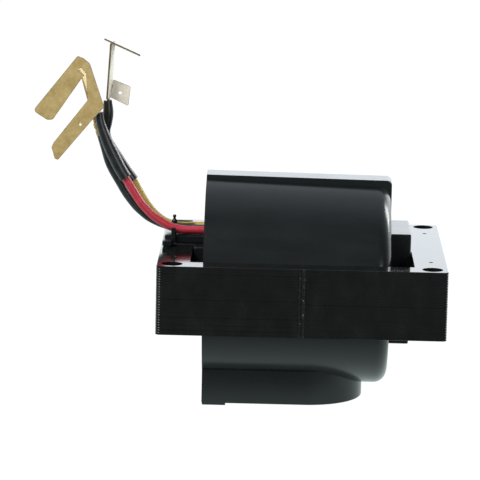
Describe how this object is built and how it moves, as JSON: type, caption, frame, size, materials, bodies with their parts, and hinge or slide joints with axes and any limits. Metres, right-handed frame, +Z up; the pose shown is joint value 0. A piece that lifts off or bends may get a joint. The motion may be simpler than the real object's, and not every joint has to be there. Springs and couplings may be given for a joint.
{
  "type": "ignition coil",
  "caption": "Window-core ignition coil: a laminated steel frame round a potted black housing, with free leads to brass blades and a high-tension button beneath.",
  "frame": {"origin": "on the surface the coil stands on, at the middle of its bounding box without the leads, under the centre of the core", "axes": "+X along the coil's winding axis, away from the end where the leads leave; +Y from front to back; +Z up through the core's screw holes"},
  "size_m": [0.1135, 0.0712, 0.0985],
  "materials": {
    "core_steel": "black-coated electrical steel laminations, semi-gloss, fine lines between the sheets",
    "weld": "small weld bead",
    "housing_plastic": "black glass-filled thermoplastic moulding, satin",
    "potting": "black epoxy potting, smooth",
    "nylon": "natural nylon",
    "magnet_wire": "enamelled copper wire, wound",
    "fish_paper": "pressed insulating paper",
    "brass": "rolled sheet brass, dull with fine rolling lines",
    "tinned_brass": "tinned sheet brass, pale and satin",
    "red_insulation": "red PVC, satin",
    "yellow_insulation": "mustard yellow PVC, satin",
    "black_insulation": "black PVC, satin",
    "black_sleeve": "black heat-shrink sleeve, semi-gloss"
  },
  "bodies": {
    "root": {"core_left_stack": "core_steel", "core_right_stack": "core_steel", "air_gap_spacer": "fish_paper", "front_seam_weld": "weld", "rear_seam_weld": "weld", "coil_housing": "housing_plastic", "potting_resin": "potting", "primary_bobbin": "nylon", "secondary_bobbin": "nylon", "primary_winding": "magnet_wire", "secondary_winding": "magnet_wire", "high_tension_contact": "brass", "high_tension_link": "brass", "wire_guide": "housing_plastic", "red_lead": "red_insulation", "yellow_lead": "yellow_insulation", "black_lead": "black_insulation", "red_sleeve": "black_sleeve", "yellow_sleeve": "black_sleeve", "battery_terminal": "brass", "tachometer_terminal": "tinned_brass", "ground_terminal": "brass"}
  },
  "joints": []
}
